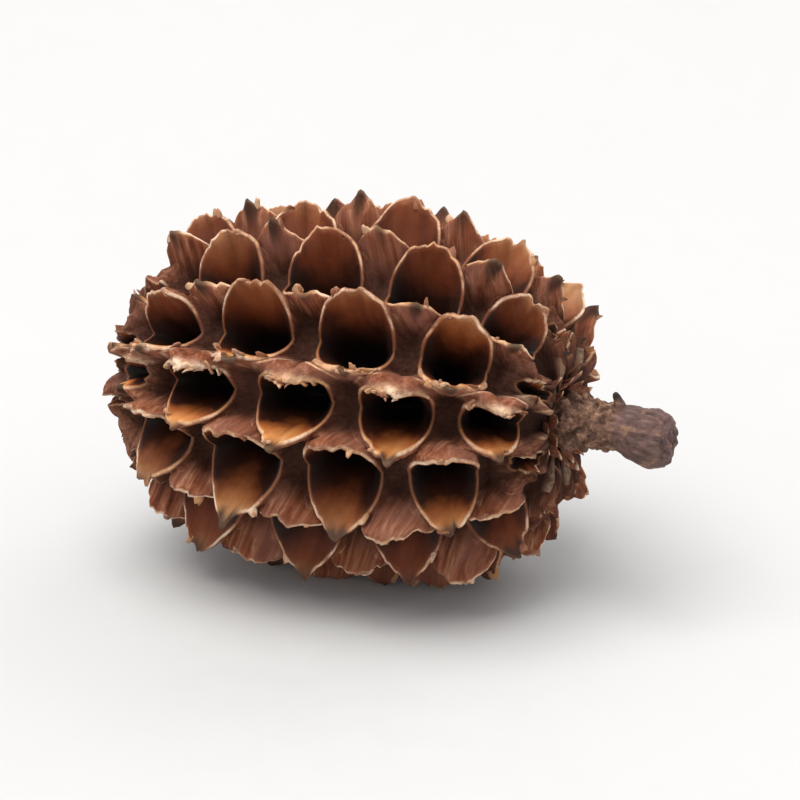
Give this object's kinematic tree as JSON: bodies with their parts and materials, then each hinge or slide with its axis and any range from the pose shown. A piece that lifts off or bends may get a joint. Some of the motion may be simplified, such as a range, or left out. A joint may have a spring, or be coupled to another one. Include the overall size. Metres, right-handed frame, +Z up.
{
  "type": "casuarina cone",
  "caption": "Dry open casuarina cone with rows of paired woody lips round deep seed pockets, and a short broken stalk.",
  "frame": {"origin": "on the surface that the cone lies on, under the middle of its box", "axes": "+X along the cone's own axis, from its tip towards the broken end of its stalk; +Z up; the cone lies on its side"},
  "size_m": [0.0358, 0.0248, 0.0236],
  "materials": {
    "cone_scales": "dry, matt grey-brown outside with pale rims, and satin red-brown inside the lips",
    "stalk": "dry, rough dark grey-brown bark"
  },
  "bodies": {
    "root": {"cone_head": "cone_scales", "stalk": "stalk"}
  },
  "joints": []
}
